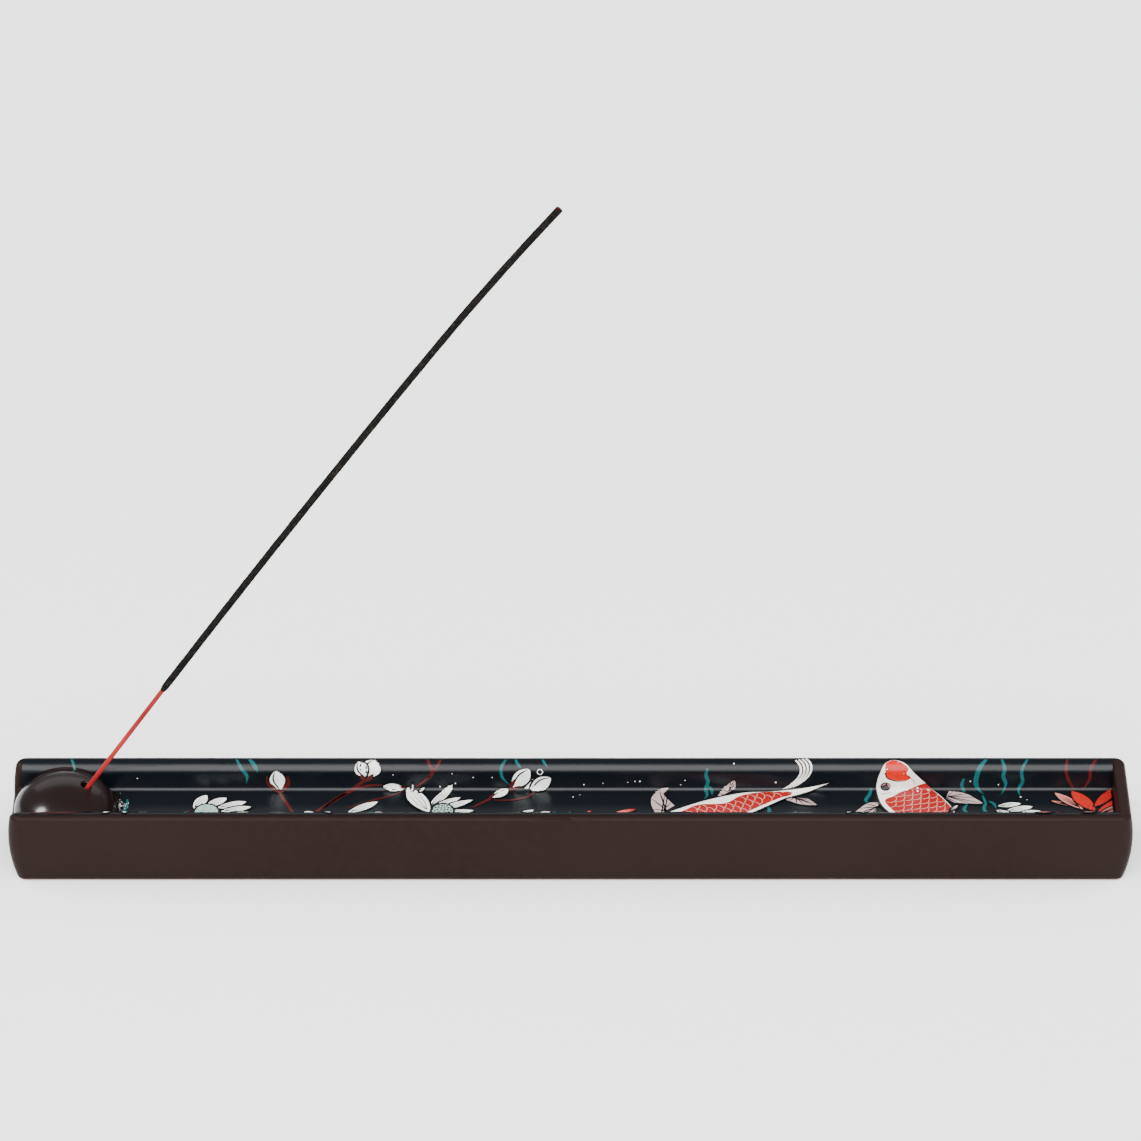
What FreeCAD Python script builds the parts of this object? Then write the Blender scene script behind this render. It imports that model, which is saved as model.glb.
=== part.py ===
"""Boat-shaped incense burner in glazed ceramic, with its incense stick.

Millimetres.  +X runs along the tray away from the dome, +Y is towards the back, +Z is up.
The origin is the middle of the footprint, on the surface that the tray stands on.
"""
import FreeCAD, Part
import math
import os

Vector = FreeCAD.Vector

# ---------------------------------------------------------------- driving dimensions
# Tray, outside
TRAY_LENGTH = 292.0          # over the widest part of the bowed ends
TRAY_WIDTH = 29.0            # over the widest part of the bowed sides
TRAY_HEIGHT = 20.5
BELLY_HEIGHT = 12.5          # where ends and sides stand out furthest
END_BOW_RADIUS = 36.0        # upright curve of the two ends
SIDE_BOW_RADIUS = 90.0       # upright curve of the two long sides, much flatter
PLAN_CORNER_RADIUS = 3.0     # the four upright corners, seen from above
BASE_EDGE_RADIUS = 1.6
SECTION_SHARES = (0.0, 0.2, 0.4, 0.8, 1.0)  # of the height, where the bowed outside is drawn

# Tray, inside
OUTER_LIP_RADIUS = 1.4       # rounding of the rim towards the outside
INNER_LIP_RADIUS = 2.9       # larger rounding of the rim towards the trough
RIM_FLAT = 0.08              # flat left between the two roundings of the rim
OVERSHOOT = 2.0              # how far cutting shapes reach past what they cut
SAME_HEIGHT = 0.0001         # two places closer than this count as one
SAME_LINE = 0.01             # the same for edges drawn by a rounding
TROUGH_DEPTH = 7.7
TROUGH_DRAFT = 3.7           # degrees, how much the long inner walls lean outwards
FLOOR_FILLET = 1.5
END_WALL_THICKNESS = 3.0     # far end's wall, at the rim
END_WALL_FILLET = 0.9        # upper edge of its inner face

# Tray, underside
FOOT_WIDTH = 3.6             # unglazed foot ring that the tray stands on
FOOT_RECESS_DEPTH = 3.0
FOOT_CORNER_RADIUS = 2.5
FOOT_FILLET = 1.2

# Dome that holds the stick
DOME_RADIUS = 13.3           # half its width, seen from above
DOME_RISE = 8.9              # from its widest circle to its top
DOME_FOOT = 0.4              # upright band under its widest circle
DOME_INSET = 0.7             # from the tray's end to the dome's widest circle
DOME_SKIRT = 2.2             # slip fillet between the dome and the floor
SKIRT_HOLLOW = 0.28          # depth of the skirt's hollow curve, as a share of its size
DOME_SEAM = math.radians(50) # where the turned shape starts and ends, away from the hole
SEAT_RADIUS = 8.0            # shallow scored seat in the floor, under the dome
SEAT_CLAY = 0.8              # least clay of the dome left under the hole

# Hole for the stick
BORE_RADIUS = 1.4
BORE_DEPTH = 10.0
BORE_MOUTH_OFFSET = 6.0      # from the dome's middle towards +X
BORE_LIP_FILLET = 0.35

# Printed transfer in the trough
TRANSFER_THICKNESS = 0.2
TRANSFER_DOME_GAP = 0.7      # bare glaze left round the dome
TRANSFER_END_GAP = 0.1       # from the far end's wall

# Incense stick
CORE_RADIUS = 0.65
PASTE_RADIUS = 1.0
STICK_TILT = 56.0            # degrees above level
BARE_LENGTH = 46.0           # dyed bamboo, from its bottom end to the paste
PASTE_TAPER = 1.6            # thinned start of the paste
PASTE_FEATHER = 0.08         # its thickness where it starts
STRAIGHTER_LENGTH = 120.0    # first stretch of paste
STRAIGHTER_BEND = 1.7        # degrees that this stretch bends down
LIMPER_LENGTH = 54.0         # last stretch of paste, up to the tip
LIMPER_BEND = 3.9            # degrees that this stretch bends down
BORE_SIDE_CLEARANCE = 0.1
BORE_END_CLEARANCE = 0.25

# ---------------------------------------------------------------- worked-out dimensions
FLOOR_HEIGHT = TRAY_HEIGHT - TROUGH_DEPTH
CREST_INSET = OUTER_LIP_RADIUS + RIM_FLAT / 2
WALL_LEAN = math.radians(TROUGH_DRAFT)
DOME_X = -TRAY_LENGTH / 2 + DOME_INSET + DOME_RADIUS
DOME_HEIGHT = FLOOR_HEIGHT + DOME_FOOT


def inset(height, bow_radius):
    """How far a bowed outside wall stands in from its widest point at a height."""
    return (height - BELLY_HEIGHT) ** 2 / (2 * bow_radius)


RIM_LENGTH = TRAY_LENGTH - 2 * inset(TRAY_HEIGHT, END_BOW_RADIUS)
RIM_WIDTH = TRAY_WIDTH - 2 * inset(TRAY_HEIGHT, SIDE_BOW_RADIUS)
OPEN_END = -TRAY_LENGTH / 2
FAR_END = RIM_LENGTH / 2 - END_WALL_THICKNESS


# ---------------------------------------------------------------- shapes
def rounded_rectangle(length, width, radius, height):
    """Closed wire: a rectangle with rounded corners, level at a height."""
    half_x = length / 2
    half_y = width / 2
    middle = radius * (1 - math.sqrt(0.5))
    arcs = []
    for side_x, side_y in ((1, 1), (-1, 1), (-1, -1), (1, -1)):
        along_end = Vector(side_x * half_x, side_y * (half_y - radius), height)
        along_side = Vector(side_x * (half_x - radius), side_y * half_y, height)
        crown = Vector(side_x * (half_x - middle), side_y * (half_y - middle), height)
        if side_x * side_y > 0:
            arcs.append((along_end, crown, along_side))
        else:
            arcs.append((along_side, crown, along_end))
    edges = []
    for index, (start, crown, end) in enumerate(arcs):
        following = arcs[(index + 1) % len(arcs)][0]
        edges.append(Part.Arc(start, crown, end).toShape())
        edges.append(Part.LineSegment(end, following).toShape())
    return Part.Wire(edges)


def level_edges(shape, height):
    """Edges of a shape that lie level at a height."""
    found = []
    for edge in shape.Edges:
        box = edge.BoundBox
        if abs(box.ZMin - height) < SAME_HEIGHT and abs(box.ZMax - height) < SAME_HEIGHT:
            found.append(edge)
    return found


def tray_outside():
    """Solid block with the bowed outside of the tray."""
    sections = []
    for level in sorted([TRAY_HEIGHT * share for share in SECTION_SHARES] + [BELLY_HEIGHT]):
        end_inset = inset(level, END_BOW_RADIUS)
        side_inset = inset(level, SIDE_BOW_RADIUS)
        sections.append(rounded_rectangle(
            TRAY_LENGTH - 2 * end_inset,
            TRAY_WIDTH - 2 * side_inset,
            PLAN_CORNER_RADIUS - side_inset,
            level))
    return Part.makeLoft(sections, True, False)


def trough_section(skin):
    """Upright face across the trough, with its floor roundings and lips, drawn in by a skin."""
    lip = INNER_LIP_RADIUS + skin
    corner = FLOOR_FILLET - skin
    lip_y = RIM_WIDTH / 2 - OUTER_LIP_RADIUS - RIM_FLAT
    lip_z = TRAY_HEIGHT - INNER_LIP_RADIUS
    wall_top = (lip_y - lip * math.cos(WALL_LEAN), lip_z + lip * math.sin(WALL_LEAN))
    corner_z = FLOOR_HEIGHT + skin + corner
    corner_y = wall_top[0] - (wall_top[1] - corner_z) * math.tan(WALL_LEAN) - corner / math.cos(WALL_LEAN)
    wall_foot = (corner_y + corner * math.cos(WALL_LEAN), corner_z - corner * math.sin(WALL_LEAN))
    middle = (math.pi / 2 - WALL_LEAN) / 2
    lip_middle = (lip_y - lip * math.sin(middle), lip_z + lip * math.cos(middle))
    corner_middle = (corner_y + corner * math.sin(middle), corner_z - corner * math.cos(middle))
    floor_end = (corner_y, FLOOR_HEIGHT + skin)
    lip_top = (lip_y, lip_z + lip)
    above = (lip_y, TRAY_HEIGHT + OVERSHOOT)

    def placed(point, side):
        return Vector(0, side * point[0], point[1])

    edges = [
        Part.LineSegment(placed(floor_end, -1), placed(floor_end, 1)).toShape(),
        Part.LineSegment(placed(above, -1), placed(above, 1)).toShape()]
    for side in (1, -1):
        edges.append(Part.Arc(*[
            placed(point, side) for point in (floor_end, corner_middle, wall_foot)]).toShape())
        edges.append(Part.LineSegment(placed(wall_foot, side), placed(wall_top, side)).toShape())
        edges.append(Part.Arc(*[
            placed(point, side) for point in (wall_top, lip_middle, lip_top)]).toShape())
        edges.append(Part.LineSegment(placed(lip_top, side), placed(above, side)).toShape())
    return Part.Face(Part.Wire(Part.__sortEdges__(edges)))


def trough_space(start):
    """The hollow of the trough, from a place along the tray to the far end's wall."""
    section = trough_section(0)
    section.translate(Vector(start, 0, 0))
    return section.extrude(Vector(FAR_END - start, 0, 0))


def far_end_edges(shape):
    """Upper edge of the far end wall's inner face."""
    found = []
    for edge in level_edges(shape, TRAY_HEIGHT):
        box = edge.BoundBox
        if abs(box.XMin - FAR_END) < SAME_HEIGHT and abs(box.XMax - FAR_END) < SAME_HEIGHT:
            found.append(edge)
    return found


def outer_rim_edges(block):
    """Outer edge of the rim, and the same edge where it follows the trough's open end."""
    found = []
    for edge in block.Edges:
        box = edge.BoundBox
        if box.ZMin < FLOOR_HEIGHT - SAME_LINE:
            continue
        middle = edge.valueAt((edge.FirstParameter + edge.LastParameter) / 2)
        outside_x = TRAY_LENGTH / 2 - inset(middle.z, END_BOW_RADIUS)
        outside_y = TRAY_WIDTH / 2 - inset(middle.z, SIDE_BOW_RADIUS)
        on_outside = min(outside_x - abs(middle.x), outside_y - abs(middle.y)) < OUTER_LIP_RADIUS / 2
        along_wall = max(box.YLength, box.ZLength) < SAME_LINE < box.XLength
        at_side = abs(abs(middle.y) - RIM_WIDTH / 2) < SAME_LINE
        if on_outside and (at_side or not along_wall):
            found.append(edge)
    return found


def dome_body(radius, rise, skirt):
    """Flattened half ball down to the floor, and the hollow-curved skirt round its foot."""
    seam = Vector(math.cos(DOME_SEAM), math.sin(DOME_SEAM), 0)
    up = Vector(0, 0, 1)
    centre = Vector(DOME_X, 0, DOME_HEIGHT)
    middle = Vector(DOME_X, 0, FLOOR_HEIGHT)
    top = centre + up * rise
    widest = centre + seam * radius
    foot = middle + seam * radius
    quarter = Part.ArcOfEllipse(Part.Ellipse(widest, top, centre), 0, math.pi / 2).toBSpline()
    outline = Part.Wire(Part.__sortEdges__([
        quarter.toShape(),
        Part.LineSegment(widest, foot).toShape(),
        Part.LineSegment(foot, middle).toShape(),
        Part.LineSegment(middle, top).toShape()]))
    body = Part.Face(outline).revolve(centre, up, 360)
    skirt_top = centre + up * skirt + seam * radius * math.sqrt(1 - (skirt / rise) ** 2)
    skirt_foot = foot + seam * skirt
    hollow = (skirt_top + skirt_foot) / 2 - (seam + up) * SKIRT_HOLLOW * skirt
    core_low = middle + seam * radius / 2
    core_high = core_low + up * (skirt_top.z - FLOOR_HEIGHT)
    ring_outline = Part.Wire([
        Part.Arc(skirt_foot, hollow, skirt_top).toShape(),
        Part.LineSegment(skirt_top, core_high).toShape(),
        Part.LineSegment(core_high, core_low).toShape(),
        Part.LineSegment(core_low, skirt_foot).toShape()])
    ring = Part.Face(ring_outline).revolve(centre, up, 360)
    return body, ring


def dome_seat():
    """The scored seat under the dome, as a round plug of clay."""
    return Part.makeCylinder(
        SEAT_RADIUS, SEAT_DEPTH + OVERSHOOT, Vector(DOME_X, 0, FLOOR_HEIGHT - SEAT_DEPTH))


def foot_recess():
    """The shallow hollow underneath, inside the foot ring."""
    base_length = TRAY_LENGTH - 2 * inset(0, END_BOW_RADIUS) - 2 * FOOT_WIDTH
    base_width = TRAY_WIDTH - 2 * inset(0, SIDE_BOW_RADIUS) - 2 * FOOT_WIDTH
    outline = rounded_rectangle(base_length, base_width, FOOT_CORNER_RADIUS, -OVERSHOOT)
    block = Part.Face(outline).extrude(Vector(0, 0, FOOT_RECESS_DEPTH + OVERSHOOT))
    return block.makeFillet(FOOT_FILLET, level_edges(block, FOOT_RECESS_DEPTH))


def make_tray():
    """Pressed tray: trough open at one end, rounded rim, seat for the dome and foot ring."""
    block = tray_outside().cut(trough_space(OPEN_END - OVERSHOOT))
    block = block.makeFillet(OUTER_LIP_RADIUS, outer_rim_edges(block))
    block = block.makeFillet(END_WALL_FILLET, far_end_edges(block))
    block = block.makeFillet(BASE_EDGE_RADIUS, level_edges(block, 0))
    return block.cut(foot_recess()).cut(dome_seat())


# ---------------------------------------------------------------- stick and its hole
TILT = math.radians(STICK_TILT)
ALONG_STICK = Vector(math.cos(TILT), 0, math.sin(TILT))
SIDE_PLAY = BORE_RADIUS - CORE_RADIUS - BORE_SIDE_CLEARANCE
BORE_LEAN = math.atan(2 * SIDE_PLAY / BORE_DEPTH)
BORE_TILT = TILT + BORE_LEAN
ALONG_BORE = Vector(math.cos(BORE_TILT), 0, math.sin(BORE_TILT))
ACROSS_BORE = Vector(math.sin(BORE_TILT), 0, -math.cos(BORE_TILT))
MOUTH_SHARE = BORE_MOUTH_OFFSET / DOME_RADIUS
MOUTH = Vector(
    DOME_X + BORE_MOUTH_OFFSET, 0, DOME_HEIGHT + DOME_RISE * math.sqrt(1 - MOUTH_SHARE ** 2))
BORE_BOTTOM = MOUTH - ALONG_BORE * BORE_DEPTH
BORE_LOWEST = BORE_BOTTOM.z - BORE_RADIUS * math.cos(BORE_TILT)
SEAT_DEPTH = FLOOR_HEIGHT - BORE_LOWEST + SEAT_CLAY

# The stick stands on the bottom of its hole and leans on the lip, away from the dome.
STICK_FOOT = BORE_BOTTOM - ACROSS_BORE * SIDE_PLAY + ALONG_STICK * (
    BORE_END_CLEARANCE + CORE_RADIUS * math.sin(BORE_LEAN))


def stick_bore():
    """Leaning blind hole for the stick, as a plug that reaches out past the dome."""
    return Part.makeCylinder(BORE_RADIUS, BORE_DEPTH + DOME_RADIUS, BORE_BOTTOM, ALONG_BORE)


def make_dome(tray):
    """Pressed dome, luted into the tray, with the leaning blind hole for the stick."""
    body, ring = dome_body(DOME_RADIUS, DOME_RISE, DOME_SKIRT)
    ring = ring.common(trough_space(OPEN_END + OUTER_LIP_RADIUS))
    dome = body.fuse(ring).fuse(dome_seat()).cut(tray).removeSplitter()
    dome = dome.cut(stick_bore())
    mouth = [edge for edge in dome.Edges if (edge.BoundBox.Center - MOUTH).Length < BORE_RADIUS]
    return dome.makeFillet(BORE_LIP_FILLET, mouth)


def make_transfer():
    """Thin printed sheet fired on to the trough's floor, walls and lips."""
    sheet = trough_section(0).cut(trough_section(TRANSFER_THICKNESS)).Faces[0]
    start = -RIM_LENGTH / 2 + CREST_INSET
    sheet.translate(Vector(start, 0, 0))
    sheet = sheet.extrude(Vector(FAR_END - TRANSFER_END_GAP - start, 0, 0))
    # Nothing is printed above the lips or on the clay of the dome and its skirt.
    sheet = sheet.cut(Part.makeBox(
        TRAY_LENGTH, TRAY_WIDTH, OVERSHOOT,
        Vector(OPEN_END, -TRAY_WIDTH / 2, TRAY_HEIGHT + TRANSFER_THICKNESS)))
    gap = TRANSFER_DOME_GAP
    body, ring = dome_body(DOME_RADIUS + gap, DOME_RISE + gap, DOME_SKIRT)
    return sheet.cut(body).cut(ring)


def stick_stretches(outer, inner, stretches):
    """Round rod or sleeve made of stretches: (start, heading, length, turn downwards)."""
    made = []
    for start, heading, length, turn in stretches:
        along = Vector(math.cos(heading), 0, math.sin(heading))
        ring = Part.Face(Part.Wire(Part.Circle(start, along, outer).toShape()))
        if inner:
            ring = ring.cut(Part.Face(Part.Wire(Part.Circle(start, along, inner).toShape()))).Faces[0]
        if turn:
            below = Vector(math.sin(heading), 0, -math.cos(heading))
            made.append(ring.revolve(start + below * (length / turn), Vector(0, 1, 0), math.degrees(turn)))
        else:
            made.append(ring.extrude(along * length))
    return made


def make_stick():
    """Bamboo core and the burning paste rolled round its upper part, bending down a little."""
    straight = BARE_LENGTH + PASTE_TAPER
    stretches = [(STICK_FOOT, TILT, straight, 0.0)]
    position = STICK_FOOT + ALONG_STICK * straight
    heading = TILT
    for length, bend_degrees in ((STRAIGHTER_LENGTH, STRAIGHTER_BEND), (LIMPER_LENGTH, LIMPER_BEND)):
        turn = math.radians(bend_degrees)
        stretches.append((position, heading, length, turn))
        chord = 2 * length / turn * math.sin(turn / 2)
        middle = heading - turn / 2
        position = position + Vector(math.cos(middle), 0, math.sin(middle)) * chord
        heading -= turn
    core, *core_rest = stick_stretches(CORE_RADIUS, 0, stretches)
    core = core.fuse(core_rest)
    # The paste thins to a feather edge where the bare bamboo starts.
    joint = STICK_FOOT + ALONG_STICK * BARE_LENGTH
    taper = Part.makeCone(CORE_RADIUS + PASTE_FEATHER, PASTE_RADIUS, PASTE_TAPER, joint, ALONG_STICK)
    taper = taper.cut(Part.makeCylinder(CORE_RADIUS, PASTE_TAPER, joint, ALONG_STICK))
    paste = taper.fuse(stick_stretches(PASTE_RADIUS, CORE_RADIUS, stretches[1:]))
    return core, paste


# ---------------------------------------------------------------- build and write
tray = make_tray()
stick_core, stick_paste = make_stick()
pieces = {
    "tray_body": tray,
    "stick_dome": make_dome(tray),
    "trough_decal": make_transfer(),
    "stick_core": stick_core,
    "stick_paste": stick_paste,
}

os.makedirs("parts", exist_ok=True)
for name, shape in pieces.items():
    solids = shape.Solids
    if len(solids) != 1 or not shape.isValid():
        raise RuntimeError(f"{name}: {len(solids)} solids, valid {shape.isValid()}")
    solids[0].exportStep(f"parts/{name}.step")
    print(f"{name}: {solids[0].Volume:.1f} mm3, {len(solids[0].Faces)} faces")
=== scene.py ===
import math
import random
import bpy
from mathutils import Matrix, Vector, geometry, noise


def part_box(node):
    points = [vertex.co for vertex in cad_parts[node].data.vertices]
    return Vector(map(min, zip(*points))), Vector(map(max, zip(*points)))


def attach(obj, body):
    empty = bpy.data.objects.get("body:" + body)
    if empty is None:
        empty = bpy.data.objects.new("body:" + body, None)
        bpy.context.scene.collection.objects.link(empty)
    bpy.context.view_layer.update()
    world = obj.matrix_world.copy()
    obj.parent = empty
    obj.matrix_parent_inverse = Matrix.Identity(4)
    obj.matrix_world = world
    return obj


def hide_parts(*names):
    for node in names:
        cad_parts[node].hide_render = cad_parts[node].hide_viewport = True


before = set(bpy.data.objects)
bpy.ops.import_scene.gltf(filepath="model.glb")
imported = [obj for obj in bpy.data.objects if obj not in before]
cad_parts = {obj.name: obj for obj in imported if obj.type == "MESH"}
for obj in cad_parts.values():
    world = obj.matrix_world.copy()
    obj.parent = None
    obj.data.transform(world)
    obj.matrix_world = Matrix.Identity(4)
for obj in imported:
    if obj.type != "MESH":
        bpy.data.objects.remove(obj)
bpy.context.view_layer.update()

MM = 0.001

# ------------------------------------------------------------------ tray
# Pressed stoneware trough with bowed sides, dipped in a dark brown satin glaze.
# It stands on a foot ring that was wiped clean, so the bare clay shows underneath.
# The glaze breaks redder and thinner on the edges of the rim.
FOOT_WIPE = 0.7 * MM
GLAZE_ROUGHNESS = 0.4
CLAY_ROUGHNESS = 0.9
BLACK, WHITE = (0.0, 0.0, 0.0), (1.0, 1.0, 1.0)


def node_tree(name, roughness, shine=0.2):
    """A new material with its shader, whose constants are set on the shader itself."""
    made = bpy.data.materials.new(name)
    made.use_nodes = True
    shader = made.node_tree.nodes["Principled BSDF"]
    shader.inputs["Roughness"].default_value = roughness
    shader.inputs["Specular IOR Level"].default_value = shine
    return made, made.node_tree, shader


def cloud(tree, scale, detail=3.0, stretch=(1.0, 1.0, 1.0)):
    """Noise fixed to the piece, in cycles per metre."""
    place = tree.nodes.new("ShaderNodeTexCoord")
    sized = tree.nodes.new("ShaderNodeMapping")
    sized.inputs["Scale"].default_value = stretch
    made = tree.nodes.new("ShaderNodeTexNoise")
    made.inputs["Scale"].default_value = scale
    made.inputs["Detail"].default_value = detail
    tree.links.new(place.outputs["Object"], sized.inputs["Vector"])
    tree.links.new(sized.outputs["Vector"], made.inputs["Vector"])
    return made.outputs["Fac"]


def ramp(tree, source, stops):
    """Colours or greys along a value from 0 to 1."""
    made = tree.nodes.new("ShaderNodeValToRGB")
    elements = made.color_ramp.elements
    while len(elements) < len(stops):
        elements.new(0.5)
    for element, (place, colour) in zip(elements, stops):
        element.position = place
        element.color = (*colour, 1.0)
    tree.links.new(source, made.inputs["Fac"])
    return made.outputs["Color"]


def blend_colours(tree, share, first, second):
    """First colour where share is 0, second where it is 1."""
    made = tree.nodes.new("ShaderNodeMix")
    made.data_type = "RGBA"
    tree.links.new(share, made.inputs[0])
    for socket, value in ((made.inputs[6], first), (made.inputs[7], second)):
        if isinstance(value, tuple):
            socket.default_value = (*value, 1.0)
        else:
            tree.links.new(value, socket)
    return made.outputs[2]


def waviness(tree, shader, layers):
    """Bumps added one on the other: (height source, depth in metres)."""
    last = None
    for source, depth in layers:
        bump = tree.nodes.new("ShaderNodeBump")
        bump.inputs["Distance"].default_value = depth
        tree.links.new(source, bump.inputs["Height"])
        if last:
            tree.links.new(last, bump.inputs["Normal"])
        last = bump.outputs["Normal"]
    tree.links.new(last, shader.inputs["Normal"])


def paint(node, material):
    """A CAD node keeps its mesh and takes a finish."""
    piece = bpy.data.objects[node]
    for holder in piece.material_slots:
        holder.material = material
    return piece


def brown_glaze(name, deep, bright, thin_edges):
    """Dark iron glaze: slow drifts of colour, a few pinholes, thinner on sharp edges."""
    material, tree, shader = node_tree(name, GLAZE_ROUGHNESS, shine=0.05)
    drift = ramp(tree, cloud(tree, 22.0, 4.0), ((0.3, deep), (0.72, bright)))
    mottle = ramp(tree, cloud(tree, 420.0, 5.0), ((0.35, BLACK), (0.8, WHITE)))
    colour = blend_colours(tree, mottle, drift, bright)
    if thin_edges:
        shape = tree.nodes.new("ShaderNodeNewGeometry")
        edge = ramp(tree, shape.outputs["Pointiness"], ((0.52, BLACK), (0.62, WHITE)))
        colour = blend_colours(tree, edge, colour, (0.022, 0.010, 0.008))
    specks = tree.nodes.new("ShaderNodeTexVoronoi")
    specks.inputs["Scale"].default_value = 95.0
    place = tree.nodes.new("ShaderNodeTexCoord")
    tree.links.new(place.outputs["Object"], specks.inputs["Vector"])
    pinhole = ramp(tree, specks.outputs["Distance"], ((0.0, WHITE), (0.018, BLACK)))
    colour = blend_colours(tree, pinhole, colour, (0.08, 0.06, 0.05))
    if thin_edges:
        apart = tree.nodes.new("ShaderNodeSeparateXYZ")
        tree.links.new(place.outputs["Object"], apart.inputs[0])
        wiped = tree.nodes.new("ShaderNodeMath")
        wiped.operation = "LESS_THAN"
        wiped.inputs[1].default_value = FOOT_WIPE
        tree.links.new(apart.outputs["Z"], wiped.inputs[0])
        clay = ramp(tree, cloud(tree, 900.0, 6.0), (
            (0.3, (0.17, 0.09, 0.05)), (0.75, (0.27, 0.16, 0.095))))
        colour = blend_colours(tree, wiped.outputs[0], colour, clay)
        rough = tree.nodes.new("ShaderNodeMapRange")
        rough.inputs["To Min"].default_value = GLAZE_ROUGHNESS
        rough.inputs["To Max"].default_value = CLAY_ROUGHNESS
        tree.links.new(wiped.outputs[0], rough.inputs["Value"])
        tree.links.new(rough.outputs["Result"], shader.inputs["Roughness"])
    tree.links.new(colour, shader.inputs["Base Color"])
    waviness(tree, shader, (
        (cloud(tree, 60.0, 1.0), 0.00022), (cloud(tree, 900.0, 3.0), 0.000012)))
    return material


tray_glaze = brown_glaze("tray_glaze", (0.0098, 0.0048, 0.0040), (0.0125, 0.0066, 0.0056), True)
paint("tray_body", tray_glaze)

# ------------------------------------------------------------------ dome
# Pressed dome of the same clay, luted to the floor of the trough with slip before glazing.
# It is glazed with the tray, in a darker and glossier copy of the same glaze all over.
DOME_ROUGHNESS = 0.2
DOME_SHINE = 0.3
dome_glaze = brown_glaze("dome_glaze", (0.0052, 0.0026, 0.0024), (0.0075, 0.0038, 0.0035), False)
dome_shader = dome_glaze.node_tree.nodes["Principled BSDF"]
dome_shader.inputs["Roughness"].default_value = DOME_ROUGHNESS
dome_shader.inputs["Specular IOR Level"].default_value = DOME_SHINE
paint("stick_dome", dome_glaze)

# ------------------------------------------------------------------ ground of the transfer
# Water-slide print fired on to the glaze: a navy-black ground that lines the trough and
# runs over the inner lip.  It is glossy, with the faint orange-peel of a fired overprint.
transfer_ground, tree, shader = node_tree("navy_ground", 0.3, shine=0.27)
night = ramp(tree, cloud(tree, 35.0, 4.0), (
    (0.3, (0.0012, 0.0021, 0.0038)), (0.75, (0.0018, 0.0031, 0.0052))))
dust = ramp(tree, cloud(tree, 5200.0, 2.0), ((0.72, BLACK), (0.76, WHITE)))
tree.links.new(blend_colours(tree, dust, night, (0.008, 0.011, 0.014)), shader.inputs["Base Color"])
waviness(tree, shader, (
    (cloud(tree, 110.0, 2.0, (0.35, 1.0, 1.0)), 0.00012), (cloud(tree, 1500.0, 2.0), 0.000022)))
paint("trough_decal", transfer_ground)

# ------------------------------------------------------------------ pond weed
# Teal enamel blades in the same print, drawn as tapering brush strokes.  Every painted
# motif is laid out flat, by its place along the tray and its distance from the middle line
# measured over floor, wall and lip in millimetres, and is then wrapped on to the trough.
SHEET = 0.2 * MM
WALL_LEAN = math.radians(3.7)
LIP_ROUNDING = 3.1 * MM
FLOOR_ROUNDING = 1.3 * MM
ENAMEL_LIFT = 0.06
LAYER = 0.012
CELL_LONG = 1.1
CELL_WIDE = 0.55
CELL_CLEARANCE = 0.25
transfer_low, transfer_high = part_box("trough_decal")
floor_z = transfer_low.z + SHEET
lip_centre_z = transfer_high.z - LIP_ROUNDING
lip_centre_y = transfer_high.y
wall_top_y = lip_centre_y - LIP_ROUNDING * math.cos(WALL_LEAN)
wall_top_z = lip_centre_z + LIP_ROUNDING * math.sin(WALL_LEAN)
round_turn = math.pi / 2 - WALL_LEAN
wall_foot_z = floor_z + FLOOR_ROUNDING * (1 - math.cos(round_turn))
wall_foot_y = wall_top_y - (wall_top_z - wall_foot_z) * math.tan(WALL_LEAN)
flat_half = wall_foot_y - FLOOR_ROUNDING * math.sin(round_turn)
wall_length = (wall_top_z - wall_foot_z) / math.cos(WALL_LEAN)


def on_trough(along, across, lift):
    """Place and outward direction of a point of the print; all in millimetres on the way in."""
    side = 1 if across >= 0 else -1
    left = abs(across) * MM
    if left <= flat_half:
        y, z, tilt = left, floor_z, 0.0
    elif left <= flat_half + FLOOR_ROUNDING * round_turn:
        tilt = (left - flat_half) / FLOOR_ROUNDING
        y = flat_half + FLOOR_ROUNDING * math.sin(tilt)
        z = floor_z + FLOOR_ROUNDING * (1 - math.cos(tilt))
    else:
        left -= flat_half + FLOOR_ROUNDING * round_turn
        tilt = round_turn
        y = wall_foot_y + min(left, wall_length) * math.sin(WALL_LEAN)
        z = wall_foot_z + min(left, wall_length) * math.cos(WALL_LEAN)
        if left > wall_length:
            turn = WALL_LEAN + min((left - wall_length) / LIP_ROUNDING, round_turn)
            tilt = math.pi / 2 - turn
            y = lip_centre_y - LIP_ROUNDING * math.cos(turn)
            z = lip_centre_z + LIP_ROUNDING * math.sin(turn)
    out = Vector((0.0, -side * math.sin(tilt), math.cos(tilt)))
    return Vector((along * MM, side * y, z)) + out * lift * MM, out


def smooth_line(points, closed=False, steps=8):
    """Points along a soft curve that passes through the chosen ones."""
    points = [Vector(point) for point in points]
    count = len(points)
    line = []
    for index in range(count if closed else count - 1):
        if closed:
            before, start, end, after = [points[(index + step) % count] for step in (-1, 0, 1, 2)]
        else:
            start, end = points[index], points[index + 1]
            before = points[index - 1] if index else start * 2 - end
            after = points[index + 2] if index + 2 < count else end * 2 - start
        for step in range(steps):
            t = step / steps
            line.append(0.5 * (
                2 * start + (end - before) * t
                + (2 * before - 5 * start + 4 * end - after) * t * t
                + (3 * start - before - 3 * end + after) * t * t * t))
    if not closed:
        line.append(points[-1])
    return line


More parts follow.
